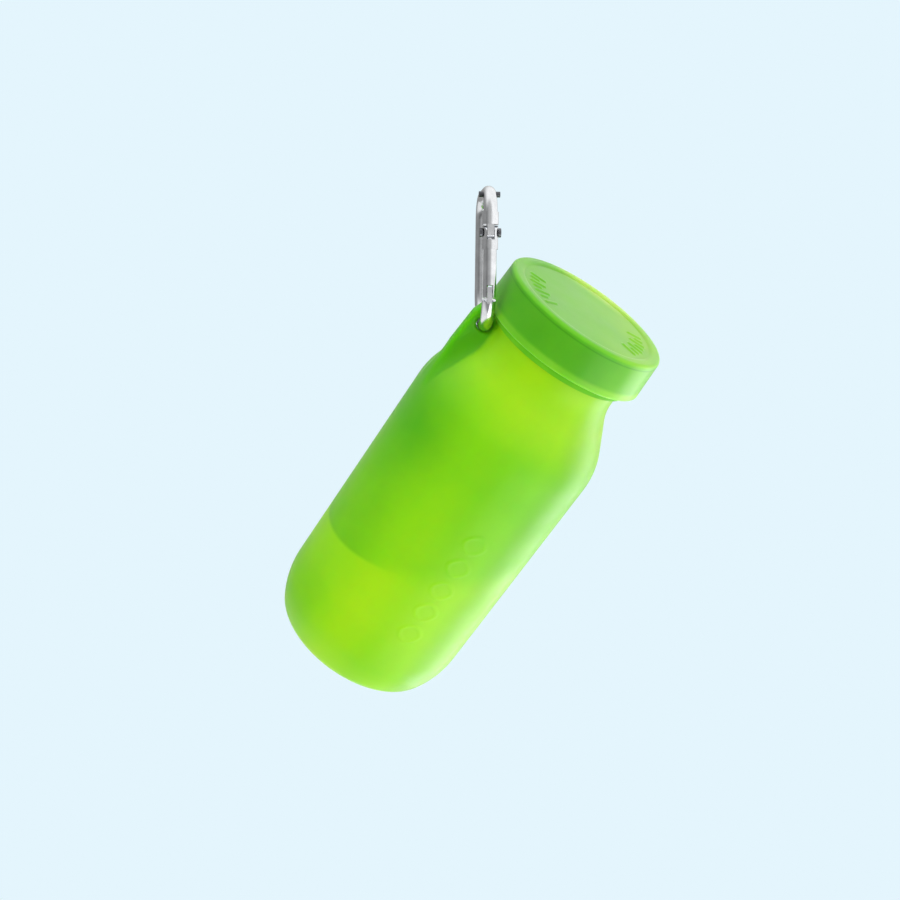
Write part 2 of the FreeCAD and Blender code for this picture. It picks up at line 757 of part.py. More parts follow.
def check(doc, sub_parts):
    """Every object computed, every sub-part a valid solid."""
    for obj in doc.Objects:
        if "Invalid" in obj.State or "Error" in obj.State:
            raise RuntimeError("%s failed: %s" % (obj.Name, obj.State))
    for obj in sub_parts:
        if obj.Shape.isNull() or not obj.Shape.isValid():
            raise RuntimeError("%s has no valid shape" % obj.Label)


def main():
    doc = FreeCAD.newDocument("folding_bottle")
    make_sheet(doc)
    place = carabiner_placement()
    sub_parts = [
        make_base(doc),
        make_fold_zone(doc),
        make_shoulder(doc),
        make_neck_ring(doc),
        make_cap_shell(doc),
        make_cap_insert(doc),
        make_cap_seal(doc),
        make_carabiner_frame(doc, place),
        make_gate(doc, place),
        make_pivot_rivet(doc, place),
        make_latch_pin(doc, place),
        make_crown_rivet(doc, place),
        make_gate_spring(doc, place),
        make_gate_plunger(doc, place),
    ]
    doc.recompute()
    check(doc, sub_parts)
    os.makedirs("parts", exist_ok=True)
    for obj in sub_parts:
        obj.Shape.exportStep("parts/%s.step" % obj.Label)
        box = obj.Shape.BoundBox
        print("%-18s solids %d volume %9.1f  x %.1f..%.1f  y %.1f..%.1f  z %.1f..%.1f" % (
            obj.Label, len(obj.Shape.Solids), obj.Shape.Volume,
            box.XMin, box.XMax, box.YMin, box.YMax, box.ZMin, box.ZMax))


main()
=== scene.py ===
import json
import math

import bpy
import numpy as np
from mathutils import Matrix, Vector


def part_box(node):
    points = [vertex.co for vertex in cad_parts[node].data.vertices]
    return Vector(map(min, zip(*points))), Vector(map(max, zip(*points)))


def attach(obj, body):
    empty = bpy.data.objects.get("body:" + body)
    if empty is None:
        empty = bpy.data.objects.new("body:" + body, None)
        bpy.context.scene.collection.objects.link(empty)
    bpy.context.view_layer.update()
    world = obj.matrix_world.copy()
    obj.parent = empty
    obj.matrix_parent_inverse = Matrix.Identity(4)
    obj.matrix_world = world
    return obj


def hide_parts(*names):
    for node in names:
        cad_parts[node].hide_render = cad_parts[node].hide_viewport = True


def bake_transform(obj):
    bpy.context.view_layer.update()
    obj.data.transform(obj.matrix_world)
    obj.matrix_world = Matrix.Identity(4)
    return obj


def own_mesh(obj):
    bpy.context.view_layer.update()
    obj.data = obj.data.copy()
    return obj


# Looks of a soft silicone bottle that hangs from a small carabiner in the ear beside its neck.
# Outlines and mesh sizes are in millimetres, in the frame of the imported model; everything that
# is handed to Blender is in metres.

MM = 0.001

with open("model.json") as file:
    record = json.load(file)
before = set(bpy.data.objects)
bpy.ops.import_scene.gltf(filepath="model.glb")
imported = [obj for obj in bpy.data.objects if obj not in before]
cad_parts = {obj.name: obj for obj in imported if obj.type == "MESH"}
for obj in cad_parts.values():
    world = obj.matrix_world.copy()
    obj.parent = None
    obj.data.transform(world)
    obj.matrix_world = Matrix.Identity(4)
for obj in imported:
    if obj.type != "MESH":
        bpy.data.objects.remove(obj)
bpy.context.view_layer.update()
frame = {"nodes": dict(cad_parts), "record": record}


# ---------------------------------------------------------------- outlines

ARC_STEP = math.radians(2.0)


def arc(start, end, bend, side):
    """Points of an arc after start, up to end; side +1 keeps the centre left of the way."""
    start, end = np.array(start, float), np.array(end, float)
    half = (end - start) / 2
    left = np.array([-half[1], half[0]]) / np.linalg.norm(half)
    centre = start + half + left * side * math.sqrt(bend ** 2 - half @ half)
    first = math.atan2(*(start - centre)[::-1])
    turn = 2 * side * math.asin(np.linalg.norm(half) / bend)
    count = max(2, math.ceil(abs(turn) / ARC_STEP))
    angles = first + turn * np.arange(1, count + 1) / count
    return centre + bend * np.column_stack([np.cos(angles), np.sin(angles)])


def outline(entries):
    """Closed outline from (x, y), or (x, y, bend, side) where an arc leads to the next entry."""
    points = []
    for i, entry in enumerate(entries):
        after = entries[(i + 1) % len(entries)]
        points.append(np.array([entry[:2]], float))
        if len(entry) == 4:
            points.append(arc(entry[:2], after[:2], entry[2], entry[3])[:-1])
    return np.concatenate(points)


def distance_to(shape, points):
    """Signed distance from 2D points to a closed outline, negative inside."""
    nearest = np.full(len(points), np.inf)
    inside = np.zeros(len(points), bool)
    for start, end in zip(shape, np.roll(shape, -1, axis=0)):
        edge = end - start
        way = points - start
        share = np.clip(way @ edge / (edge @ edge), 0, 1)
        gap = way - share[:, None] * edge
        nearest = np.minimum(nearest, (gap ** 2).sum(1))
        if edge[1]:
            spans = (start[1] > points[:, 1]) != (end[1] > points[:, 1])
            inside ^= spans & (way[:, 0] < edge[0] * way[:, 1] / edge[1])
    return np.where(inside, -1, 1) * np.sqrt(nearest)


# ---------------------------------------------------------------- blending of shapes

def soft_union(first, second, width):
    """Both shapes, with a fillet of about width where they meet."""
    share = np.clip(0.5 + 0.5 * (second - first) / width, 0, 1)
    return second + (first - second) * share - width * share * (1 - share)


def soft_cut(body, tool, width):
    """Body without the tool, with its new edges rounded over width."""
    return -soft_union(-body, tool, width)


def soft_step(share):
    """0 to 1 with level ends, as share goes from 0 to 1."""
    share = np.clip(share, 0, 1)
    return share * share * (3 - 2 * share)


# ---------------------------------------------------------------- surface meshes

def steps(*stops):
    """Grid lines through (place, step) stops, evenly spaced by about each stop's step."""
    lines = []
    for (low, step), (high, _) in zip(stops, stops[1:]):
        count = max(1, round((high - low) / step))
        lines.append(low + (high - low) * np.arange(count) / count)
    lines.append([stops[-1][0]])
    return np.concatenate(lines)


# Grid planes are shifted by this much, so that none lies in a flat face.
OFF_FLATS = 0.013


def polar_points(angles, radii, heights):
    """Points from an angle round Z, a distance from it and a height."""
    return np.stack([radii * np.cos(angles), radii * np.sin(angles), heights], axis=-1)


# Settling: rounds, the probe's length, the longest move and the least slope that it trusts.
SETTLE_ROUNDS = 4
SETTLE_PROBE = 0.02
SETTLE_LONGEST = 0.5
SETTLE_SLOPE = 0.25


def settle(points, field):
    """Moves points onto the surface where the field is zero."""
    for _ in range(SETTLE_ROUNDS):
        here = field(points)
        slope = np.column_stack([
            (field(points + SETTLE_PROBE * axis) - here) / SETTLE_PROBE for axis in np.eye(3)
        ])
        steepness = np.maximum((slope ** 2).sum(1), SETTLE_SLOPE)
        move = here[:, None] * slope / steepness[:, None]
        size = np.maximum(np.linalg.norm(move, axis=1), 1e-9)[:, None]
        points = points - move * np.minimum(1, SETTLE_LONGEST / size)
    return points


def along_axis(axis):
    """Slices of a grid's array that pick the low and the high end of each edge on one axis."""
    low, high = [slice(None)] * 3, [slice(None)] * 3
    low[axis], high[axis] = slice(None, -1), slice(1, None)
    return tuple(low), tuple(high)


def crossings(nodes, value, axis):
    """Where the surface crosses the grid edges of one axis, and which ends lie inside."""
    low, high = along_axis(axis)
    a, b = value[low], value[high]
    crossed = (a < 0) != (b < 0)
    share = np.where(crossed, a / np.where(crossed, a - b, 1), 0)[..., None]
    place = nodes[low] * (1 - share) + nodes[high] * share
    return crossed, a < 0, place


def cell_points(edges, cells):
    """One point in each grid cell that the surface crosses, and each cell's point number."""
    total = np.zeros(cells + (3,))
    count = np.zeros(cells)
    for axis, (crossed, _, place) in enumerate(edges):
        first, second = [other for other in range(3) if other != axis]
        for shift in ((0, 0), (0, 1), (1, 0), (1, 1)):
            pick = [slice(None)] * 3
            pick[first] = slice(shift[0], shift[0] + cells[first])
            pick[second] = slice(shift[1], shift[1] + cells[second])
            mask = crossed[tuple(pick)]
            total += np.where(mask[..., None], place[tuple(pick)], 0)
            count += mask
    used = count > 0
    number = np.full(cells, -1)
    number[used] = np.arange(used.sum())
    return total[used] / count[used][:, None], number


def quads_round(axis, edge, number):
    """A face round each crossed grid edge of one axis, from the four cells beside it."""
    crossed, inside_first, _ = edge
    cells = number.shape
    first, second = [other for other in range(3) if other != axis]
    spots = np.argwhere(crossed)
    spots = spots[spots[:, 0] < cells[0]]
    for other in (first, second):
        if other != 0:
            spots = spots[(spots[:, other] > 0) & (spots[:, other] < cells[other])]
    corners = []
    for back in ((1, 1), (0, 1), (0, 0), (1, 0)):
        cell = spots.copy()
        cell[:, first] -= back[0]
        cell[:, second] -= back[1]
        cell[:, 0] %= cells[0]
        corners.append(number[tuple(cell.T)])
    quads = np.column_stack(corners)
    turned = inside_first[tuple(spots.T)]
    if axis == 1:
        turned = ~turned
    quads[turned] = quads[turned][:, ::-1]
    return quads


def close_poles(points, faces, number, pole, heights):
    """Fans of triangles where the surface crosses the axis."""
    count = number.shape[0]
    for k in np.nonzero((pole[:-1] < 0) != (pole[1:] < 0))[0]:
        share = pole[k] / (pole[k] - pole[k + 1])
        centre = len(points)
        points.append(np.array([0, 0, heights[k] + share * (heights[k + 1] - heights[k])]))
        rim = [int(number[i, 0, k]) for i in range(count)]
        for i in range(count):
            pair = (rim[i], rim[(i + 1) % count])
            faces.append([centre, *(pair if pole[k] < 0 else pair[::-1])])


def surface(name, field, angles, radii, heights):
    """Quad mesh of the surface where field is zero, on a grid of angle, radius and height.

    Each grid cell that the surface crosses gets one vertex, and each grid edge that it crosses
    gets one face. Angles go once round, radii start on the axis.
    """
    turn, ring, level = np.meshgrid(angles, radii, heights, indexing="ij")
    nodes = polar_points(turn, ring, level)
    value = field(nodes.reshape(-1, 3)).reshape(turn.shape)
    nodes = np.concatenate([nodes, nodes[:1]])
    value = np.concatenate([value, value[:1]])
    edges = [crossings(nodes, value, axis) for axis in range(3)]
    points, number = cell_points(edges, (len(angles), len(radii) - 1, len(heights) - 1))
    quads = [quads_round(axis, edge, number) for axis, edge in enumerate(edges)]
    faces = [list(map(int, quad)) for quad in np.concatenate(quads)]
    points = list(settle(points, field))
    close_poles(points, faces, number, value[0, 0], heights)
    return make_mesh(name, np.array(points) * MM, faces)


def make_mesh(name, points, faces):
    mesh = bpy.data.meshes.new(name)
    mesh.from_pydata([tuple(p) for p in points], [], faces)
    mesh.validate()
    mesh.shade_smooth()
    piece = bpy.data.objects.new(name, mesh)
    bpy.context.scene.collection.objects.link(piece)
    return piece


# ---------------------------------------------------------------- the silicone bottle

WALL_R = 36.0
WALL_INNER_R = 33.8
NECK_R = 25.4
NECK_TOP = 142.4
MOUTH_R = 23.2
PAST_AXIS = -6.0
PAST_TOP = 150.0

BOTTLE_OUTSIDE = outline([
    (PAST_AXIS, 0),
    (12.0, 0),
    (13.2, 1.2),
    (20.0, 1.2),
    (21.5, 0),
    (25.9, 0, 7.4, 1),
    (32.6, 4.3, 36.0, 1),
    (WALL_R, 19.5),
    (WALL_R, 106.5, 28.0, 1),
    (32.9, 119.3),
    (27.3, 130.2, 17.2, -1),
    (NECK_R, 138.05),
    (NECK_R, NECK_TOP),
    (PAST_AXIS, NECK_TOP),
])

BOTTLE_INSIDE = outline([
    (PAST_AXIS, 4.2),
    (24.0, 4.2, 15.5, 1),
    (WALL_INNER_R, 19.5),
    (WALL_INNER_R, 106.5, 25.8, 1),
    (30.95, 118.3),
    (24.2, 131.1, 3.0, -1),
    (MOUTH_R, 133.9),
    (MOUTH_R, PAST_TOP),
    (PAST_AXIS, PAST_TOP),
])

# The ear's side view as (x, z), its thickness and the round hole for the carabiner.
EAR_ROUND = 1.3
EAR_HALF = 2.2
EAR_TOP = 144.2
EAR = outline([
    (-34.4, 112.0),
    (-33.4, 115.5),
    (-29.0, 126.4),
    (-24.6, 137.0),
    (-24.6, 142.3),
    (-27.8, 142.3),
    (-27.8, EAR_TOP),
    (-32.6, EAR_TOP),
    (-34.2, 140.4),
    (-35.3, 127.0),
])
EAR_HOLE = (-28.7, 138.1)
EAR_HOLE_R = 2.66
EAR_HOLE_DEPTH = 7.5
EAR_FILLET = 5.4
# Where the ear's outer side, which runs straight down into the wall, starts and ends.
EAR_BACK_TOP = (-35.3, 127.0)
EAR_BACK_LOW = (-36.5, 101.0)
EAR_BACK_EDGE = 0.6
HOLE_EDGE = 0.9
FLANGE_CLEAR_R = 27.65
RIM_EDGE = 0.3
# The part of space that the ear can change: x below, |y| below and z above.
EAR_REACH = (-16.0, 16.0, 100.0)

# A row of low raised lozenge outlines up the front of the wall.
BAND_ANGLE = math.radians(-86.0)
BAND_LOW = 34.5
BAND_STEP = 10.8
BAND_COUNT = 5
LOZENGE_ACROSS = 4.0
LOZENGE_ALONG = 3.7
LOZENGE_LINE = 0.27
LOZENGE_POWER = 1.6
LOZENGE_RISE = 0.22


def ear_distance(points):
    """The ear as a rounded slab."""
    flat = distance_to(EAR, points[:, [0, 2]]) + EAR_ROUND
    side = np.abs(points[:, 1]) - EAR_HALF + EAR_ROUND
    outside = np.hypot(np.maximum(flat, 0), np.maximum(side, 0))
    return outside + np.minimum(np.maximum(flat, side), 0) - EAR_ROUND


def past_ear_back(points):
    """Distance outside the straight line of the ear's outer side."""
    along = np.subtract(EAR_BACK_LOW, EAR_BACK_TOP)
    outward = np.array([along[1], -along[0]]) / np.hypot(*along)
    return (points[:, [0, 2]] - EAR_BACK_TOP) @ outward


def near_ear(points):
    x, y, z = points.T
    return (x < EAR_REACH[0]) & (np.abs(y) < EAR_REACH[1]) & (z > EAR_REACH[2])


def marks_on_wall(points):
    """Height of the row of lozenge outlines over the wall, in millimetres."""
    angle = np.arctan2(points[:, 1], points[:, 0]) - BAND_ANGLE
    across = WALL_R * (np.mod(angle + math.pi, 2 * math.pi) - math.pi)
    height = np.zeros(len(points))
    for i in range(BAND_COUNT):
        along = points[:, 2] - BAND_LOW - i * BAND_STEP
        reach = (
            np.abs(across / LOZENGE_ACROSS) ** LOZENGE_POWER
            + np.abs(along / LOZENGE_ALONG) ** LOZENGE_POWER
        ) ** (1 / LOZENGE_POWER)
        height = np.maximum(height, soft_step(1 - np.abs(reach - 1) / LOZENGE_LINE))
    return LOZENGE_RISE * height


def turned_profile(points):
    """Each point's radius and height, the different ones of these, and where each one went."""
    flat = np.column_stack([np.hypot(points[:, 0], points[:, 1]), points[:, 2]])
    ways, where = np.unique(np.round(flat, 6), axis=0, return_inverse=True)
    return flat, ways, where.ravel()


def add_ear(body, points, radius):
    """The body's distance with the ear, its hole and the room for the neck ring's flange."""
    shape = soft_union(body, ear_distance(points), EAR_FILLET)
    shape = soft_cut(shape, -past_ear_back(points), EAR_BACK_EDGE)
    hole = np.hypot(points[:, 0] - EAR_HOLE[0], points[:, 2] - EAR_HOLE[1]) - EAR_HOLE_R
    hole = np.maximum(hole, np.abs(points[:, 1]) - EAR_HOLE_DEPTH)
    shape = soft_cut(shape, hole, HOLE_EDGE)
    over = np.maximum(radius - FLANGE_CLEAR_R, NECK_TOP - points[:, 2])
    return soft_cut(shape, over, RIM_EDGE)


def bottle_field(points):
    """Signed distance to the bottle, negative in the silicone."""
    flat, ways, where = turned_profile(points)
    body = distance_to(BOTTLE_OUTSIDE, ways)[where]
    cavity = distance_to(BOTTLE_INSIDE, ways)[where]
    close = near_ear(points)
    if close.any():
        body[close] = add_ear(body[close], points[close], flat[close, 0])
    return np.maximum(body - marks_on_wall(points), -cavity)


def make_bottle():
    """The bottle's one skin, on a grid that is fine at the marks and the ear."""
    fine = math.radians(1.0)
    plain = math.radians(4.0)
    band = math.radians(9.5)
    ear = math.radians(17.0)
    angles = steps(
        (-math.pi - ear, fine),
        (-math.pi + ear, plain),
        (BAND_ANGLE - band, fine),
        (BAND_ANGLE + band, plain),
        (math.pi - ear, plain),
    )[:-1]
    radii = steps((0, 3.0), (9.0, 0.7), (42.0, 1))
    heights = OFF_FLATS + steps(
        (-1.5, 0.5), (9.0, 1.3), (28.0, 0.55), (84.0, 2.0), (106.0, 0.55), (146.0, 1),
    )
    piece = surface("bottle_skin", bottle_field, angles, radii, heights)
    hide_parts("bottle_base", "bottle_fold_zone", "bottle_shoulder")
    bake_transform(piece)
    return piece


# ---------------------------------------------------------------- the cap

CAP_TOP = 159.9
CAP_DISH = 159.3
CAP_OUTLINE = outline([
    (28.9, 145.2),
    (30.5, 145.2, 0.4, 1),
    (30.9, 145.6),
    (30.3, 158.5, 1.4, 1),
    (28.9, CAP_TOP),
    (27.8, CAP_TOP, 4.0, 1),
    (25.6, CAP_DISH),
    (PAST_AXIS, CAP_DISH),
    (PAST_AXIS, 158.2),
    (28.9, 158.2),
])
# Two fans of raised bars in the dish, long and short in turn, each along a radius.
FANS = (math.radians(188.0), math.radians(-20.0))
BARS_IN_FAN = 7
BAR_STEP = math.radians(8.6)
BAR_RINGS_R = (20.4, 21.4)
BAR_HALF_LENGTHS = (3.5, 2.2)
BAR_HALF_WIDTH = 0.95
BAR_RISE = 0.42
BAR_FLANK = 1.25
BARS_ABOVE_Z = CAP_DISH - 0.8


def bars_on_cap(points):
    """Height of the bars over the dish, in millimetres."""
    height = np.zeros(len(points))
    for fan in FANS:
        for i in range(BARS_IN_FAN):
            angle = fan + (i - (BARS_IN_FAN - 1) / 2) * BAR_STEP
            spoke = np.array([math.cos(angle), math.sin(angle)])
            along = np.abs(points[:, :2] @ spoke - BAR_RINGS_R[i % 2])
            across = points[:, :2] @ np.array([-spoke[1], spoke[0]])
            past = np.maximum(along - BAR_HALF_LENGTHS[i % 2] + BAR_HALF_WIDTH, 0)
            reach = np.hypot(past, across) / BAR_HALF_WIDTH
            height = np.maximum(height, soft_step(BAR_FLANK * (1 - reach)))
    return BAR_RISE * height * (points[:, 2] > BARS_ABOVE_Z)


def cap_field(points):
    """Signed distance to the cap's skin, negative in the silicone."""
    _, ways, where = turned_profile(points)
    return distance_to(CAP_OUTLINE, ways)[where] - bars_on_cap(points)


def make_cap():
    """The cap's skin, on a grid that is fine at its edges and in the dish."""
    angles = steps((-math.pi, math.radians(1.2)), (math.pi, 1))[:-1]
    radii = steps((0, 2.0), (15.0, 0.4), (32.0, 1))
    heights = OFF_FLATS + steps((144.0, 0.4), (147.0, 1.0), (155.0, 0.3), (161.5, 1))
    piece = surface("cap_skin", cap_field, angles, radii, heights)
    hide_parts("cap_shell")
    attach(piece, "cap")
    return piece


# ---------------------------------------------------------------- the gate's spring

SPRING_LENGTH = 6.6
SPRING_PITCH = 0.85
SPRING_COIL_R = 0.8
SPRING_WIRE_R = 0.17
SPRING_SIDES = 8
SPRING_STEPS_PER_TURN = 24


def coil_mesh(centre, along):
    """Points in millimetres and faces of the coil, centred at centre with its axis along."""
    side = along.orthogonal().normalized()
    across = along.cross(side)
    count = round(SPRING_LENGTH / SPRING_PITCH * SPRING_STEPS_PER_TURN)
    points = []
    for i in range(count + 1):
        turn = 2 * math.pi * i / SPRING_STEPS_PER_TURN
        outward = math.cos(turn) * side + math.sin(turn) * across
        middle = centre + outward * SPRING_COIL_R + along * SPRING_LENGTH * (i / count - 0.5)
        for k in range(SPRING_SIDES):
            lap = 2 * math.pi * k / SPRING_SIDES
            around = math.cos(lap) * outward + math.sin(lap) * along
            points.append(middle + around * SPRING_WIRE_R)
    last = count * SPRING_SIDES
    faces = [
        list(range(SPRING_SIDES)),
        list(range(last, last + SPRING_SIDES))[::-1],
    ]
    for i in range(count):
        for k in range(SPRING_SIDES):
            a = i * SPRING_SIDES + k
            b = i * SPRING_SIDES + (k + 1) % SPRING_SIDES
            faces.append([a, a + SPRING_SIDES, b + SPRING_SIDES, b])
    return points, faces


def make_spring():
    """The coil in the gate's bore, which rides with the gate."""
    slide = next(j for j in frame["record"]["behaviour"]["joints"] if j["name"] == "pusher_slide")
    low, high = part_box("gate_spring")
    centre = (Vector(low) + Vector(high)) / 2 / MM
    along = -Vector(slide["axis"]).normalized()
    points, faces = coil_mesh(centre, along)
    piece = make_mesh("gate_spring_coil", [point * MM for point in points], faces)
    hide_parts("gate_spring")
    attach(piece, "gate")
    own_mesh(piece)
    return piece


# ---------------------------------------------------------------- materials

def srgb(red, green, blue):
    """Linear colour from 0 to 255 screen values."""
    return tuple(
        (v / 255 / 12.92) if v / 255 <= 0.04045 else ((v / 255 + 0.055) / 1.055) ** 2.4
        for v in (red, green, blue)
    ) + (1.0,)


# The range that most of a noise texture's values lie in.
NOISE_MIDDLE = (0.3, 0.7)


def grey(level):
    return (level, level, level, 1.0)


class Nodes:
    """Short ways to add nodes to a node tree."""

    def __init__(self, tree):
        self.tree = tree

    def add(self, kind, **settings):
        node = self.tree.nodes.new(kind)
        for key, value in settings.items():
            setattr(node, key, value)
        return node

    def link(self, source, target):
        self.tree.links.new(source, target)

    def feed(self, socket, source):
        """Sets a socket from another node's output or from a plain value."""
        if isinstance(source, bpy.types.NodeSocket):
            self.link(source, socket)
        else:
            socket.default_value = source

    def span(self, value, low, high, out_low=0.0, out_high=1.0, smooth=False):
        """Value mapped from low..high to out_low..out_high, clamped."""
        node = self.add("ShaderNodeMapRange")
        node.interpolation_type = "SMOOTHSTEP" if smooth else "LINEAR"
        for key, number in (
            ("From Min", low), ("From Max", high), ("To Min", out_low), ("To Max", out_high),
        ):
            node.inputs[key].default_value = number
        self.link(value, node.inputs["Value"])
        return node.outputs["Result"]

    def maths(self, operation, first, second=0.0):
        node = self.add("ShaderNodeMath", operation=operation)
        self.feed(node.inputs[0], first)
        self.feed(node.inputs[1], second)
        return node.outputs["Value"]

    def axes(self, vector):
        node = self.add("ShaderNodeSeparateXYZ")
        self.link(vector, node.inputs["Vector"])
        return node.outputs["X"], node.outputs["Y"], node.outputs["Z"]


class Shader(Nodes):
    """A node material with one Principled shader, placed by the object's own coordinates."""

    def __init__(self, name):
        self.material = bpy.data.materials.new(name)
        self.material.use_nodes = True
        super().__init__(self.material.node_tree)
        self.principled = self.tree.nodes["Principled BSDF"]
        self.place = self.add("ShaderNodeTexCoord").outputs["Object"]

    def set(self, **values):
        for key, value in values.items():
            self.principled.inputs[key.replace("_", " ")].default_value = value

    def noise(self, scale, detail=3.0, roughness=0.5, stretch=None):
        node = self.add("ShaderNodeTexNoise")
        node.inputs["Scale"].default_value = scale
        node.inputs["Detail"].default_value = detail
        node.inputs["Roughness"].default_value = roughness
        source = self.place
        if stretch:
            mapping = self.add("ShaderNodeMapping")
            mapping.inputs["Scale"].default_value = stretch
            self.link(source, mapping.inputs["Vector"])
            source = mapping.outputs["Vector"]
        self.link(source, node.inputs["Vector"])
        return node.outputs["Fac"]

    def ramp(self, factor, *stops):
        """Colours by factor; each stop is (place, colour)."""
        node = self.add("ShaderNodeValToRGB")
        node.color_ramp.interpolation = "LINEAR"
        while len(node.color_ramp.elements) < len(stops):
            node.color_ramp.elements.new(0.5)
        for element, (place, colour) in zip(node.color_ramp.elements, stops):
            element.position = place
            element.color = colour
        self.link(factor, node.inputs["Fac"])
        return node.outputs["Color"]

    def mix(self, factor, first, second, blend="MIX"):
        node = self.add("ShaderNodeMix", data_type="RGBA", blend_type=blend)
        for key, source in (("Factor_Float", factor), ("A_Color", first), ("B_Color", second)):
            self.feed(next(s for s in node.inputs if s.identifier == key), source)
        return next(s for s in node.outputs if s.identifier == "Result_Color")

    def bump(self, height, strength, distance, normal=None):
        node = self.add("ShaderNodeBump")
        node.inputs["Strength"].default_value = strength
        node.inputs["Distance"].default_value = distance
        self.link(height, node.inputs["Height"])
        if normal is not None:
            self.link(normal, node.inputs["Normal"])
        return node.outputs["Normal"]

    def finish(self, colour=None, roughness=None, normal=None):
        for key, source in (
            ("Base Color", colour), ("Roughness", roughness), ("Normal", normal),
        ):
            if source is not None:
                self.link(source, self.principled.inputs[key])
        return self.material


def satin_skin(shader, rough_low, rough_high):
    """Roughness and normal of moulded silicone: faint blotches and a very fine grain."""
    blotch = shader.noise(90.0, 4.0, 0.55)
    roughness = shader.span(blotch, *NOISE_MIDDLE, rough_low, rough_high)
    grain = shader.bump(shader.noise(2600.0, 2.0, 0.6), 0.12, 0.00006)
    swell = shader.bump(shader.noise(55.0, 2.0, 0.4), 0.35, 0.0006, grain)
    return roughness, swell


# Painted light and shade: brightness of the wall from the foot to the mouth, as shares of
# WALL_TONE_TOP.
WALL_TONE_TOP = 0.145
WALL_TONES = (
    (0.0, 0.48), (0.09, 0.40), (0.22, 0.56), (0.45, 0.60),
    (0.68, 0.47), (0.78, 0.52), (0.88, 0.70), (1.0, 0.60),
)
WALL_COLOURS = (
    (0.0, (0.08, 0.39, 0.0010, 1)), (0.35, (0.24, 0.60, 0.0030, 1)),
    (0.70, (0.44, 0.73, 0.0045, 1)), (1.0, (0.60, 0.82, 0.0070, 1)),
)
# Painted light below a slanting edge on the wall: its height on the axis, and its rise towards
# +X. It is crisp at the ear's side and melts away round the other.
GLOW_EDGE_Z = 0.0585
GLOW_EDGE_SLOPE = 0.39
GLOW_EDGE_CRISP = 0.0010
GLOW_EDGE_FAINT = 0.0065
GLOW_LIFT = 0.23
GLOW_FADE_X = (-0.027, -0.010)
# Painted shade on the thick ear: where its darker tone starts and is full: across, up and
# outwards.
EAR_SHADE = 0.75
EAR_SHADE_Y = (0.0075, 0.0030)
EAR_SHADE_Z = (0.109, 0.119)
EAR_SHADE_X = (-0.0245, -0.0275)
# Painted shade: the wall darkens towards the ear's side, and less so at the foot.
EAR_SIDE_SHADE = 0.48
EAR_SIDE_X = (-0.008, -0.036)
EAR_SIDE_Z = (0.008, 0.030)
EAR_SIDE_FOOT = 0.82
# Painted shade: the wall turns darker and cooler away from the ear, and less so towards the neck.
COOL_SHADE_TINT = (0.57, 0.82, 1.2, 1)
COOL_X = (-0.028, -0.005)
COOL_Z = (0.108, 0.126)
COOL_NECK = 0.60
# Painted shade: the wall turns darker again towards its +X side.
FAR_SIDE_SHADE_TINT = (0.68, 0.75, 1.0, 1)
FAR_X = (0.006, 0.020)


def painted_light_below_edge(shader, x, z):
    """Painted light: extra brightness below a slanting edge on the wall."""
    slant = shader.maths("SUBTRACT", z, shader.maths("MULTIPLY", x, GLOW_EDGE_SLOPE))
    crisp, faint = (
        shader.span(slant, GLOW_EDGE_Z + half, GLOW_EDGE_Z - half, 0.0, GLOW_LIFT, smooth=True)
        for half in (GLOW_EDGE_CRISP, GLOW_EDGE_FAINT)
    )
    fade = shader.span(x, *GLOW_FADE_X, smooth=True)
    more = shader.maths("MULTIPLY", fade, shader.maths("SUBTRACT", faint, crisp))
    return shader.maths("ADD", crisp, more)


def ear_tone(shader, x, y, z):
    """How much a point gets the ear's painted shade, from 0 to 1."""
    slab = shader.span(shader.maths("ABSOLUTE", y), *EAR_SHADE_Y, smooth=True)
    high = shader.span(z, *EAR_SHADE_Z, smooth=True)
    outer = shader.span(x, *EAR_SHADE_X, smooth=True)
    return shader.maths("MULTIPLY", slab, shader.maths("MULTIPLY", high, outer))


def wall_tone(shader, x, y, z):
    """Painted light and shade on the wall, from its height, the slanting edge, the ear's side and
    the ear, with faint clouds.
    """
    clouds = shader.span(shader.noise(24.0, 3.0, 0.5), *NOISE_MIDDLE, -0.06, 0.06)
    height = shader.ramp(
        shader.span(z, 0.0, WALL_TONE_TOP), *((place, grey(tone)) for place, tone in WALL_TONES))
    side = shader.maths(
        "MULTIPLY",
        shader.span(x, *EAR_SIDE_X, 0.0, -EAR_SIDE_SHADE, smooth=True),
        shader.span(z, *EAR_SIDE_Z, EAR_SIDE_FOOT, 1.0, smooth=True),
    )
    tone = shader.maths("ADD", height, painted_light_below_edge(shader, x, z))
    tone = shader.maths("ADD", tone, shader.maths("ADD", side, clouds))
    ear = shader.maths("MULTIPLY", ear_tone(shader, x, y, z), EAR_SHADE)
    return shader.maths("SUBTRACT", tone, ear)


def silicone_wall():
    """Milky green, with painted shade in the folding wall and painted light at the foot and
    shoulder.
    """
    shader = Shader("green_silicone")
    x, y, z = shader.axes(shader.place)
    colour = shader.ramp(wall_tone(shader, x, y, z), *WALL_COLOURS)
    # Painted shade: darker and cooler away from the ear, and darker again towards +X.
    cooler = shader.maths(
        "MULTIPLY",
        shader.span(x, *COOL_X, smooth=True),
        shader.span(z, *COOL_Z, 1.0, COOL_NECK, smooth=True),
    )
    colour = shader.mix(cooler, colour, COOL_SHADE_TINT, "MULTIPLY")
    colour = shader.mix(shader.span(x, *FAR_X, smooth=True), colour, FAR_SIDE_SHADE_TINT, "MULTIPLY")
    roughness, normal = satin_skin(shader, 0.34, 0.46)
    shader.set(
        Subsurface_Weight=1.0,
        Subsurface_Radius=(0.6, 1.0, 0.08),
        Subsurface_Scale=0.006,
        Specular_IOR_Level=0.22,
        Sheen_Weight=0.16,
        Sheen_Roughness=0.3,
    )
    return shader.finish(colour, roughness, normal)


